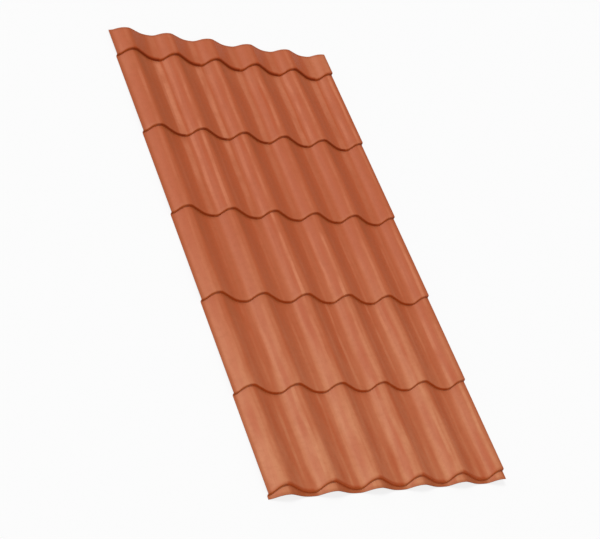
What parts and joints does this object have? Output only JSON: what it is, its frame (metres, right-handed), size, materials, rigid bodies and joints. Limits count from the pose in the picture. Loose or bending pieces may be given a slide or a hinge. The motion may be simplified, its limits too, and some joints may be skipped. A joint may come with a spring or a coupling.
{
  "type": "roof sheet",
  "caption": "Long rectangular roofing sheet with lengthwise waves and scalloped steps that imitate courses of clay tiles.",
  "frame": {"origin": "centre of the bounding box at its underside, on the plane of the floor that the sheet lies on", "axes": "+X across the waves, +Y up the roof from the lipped eaves end to the plain head end, +Z out of the weather face"},
  "size_m": [1.08, 2.15, 0.0419],
  "materials": {
    "tile_plastic": "matt to satin terracotta with soft lengthwise streaks"
  },
  "bodies": {
    "root": {"roof_sheet": "tile_plastic"}
  },
  "joints": []
}
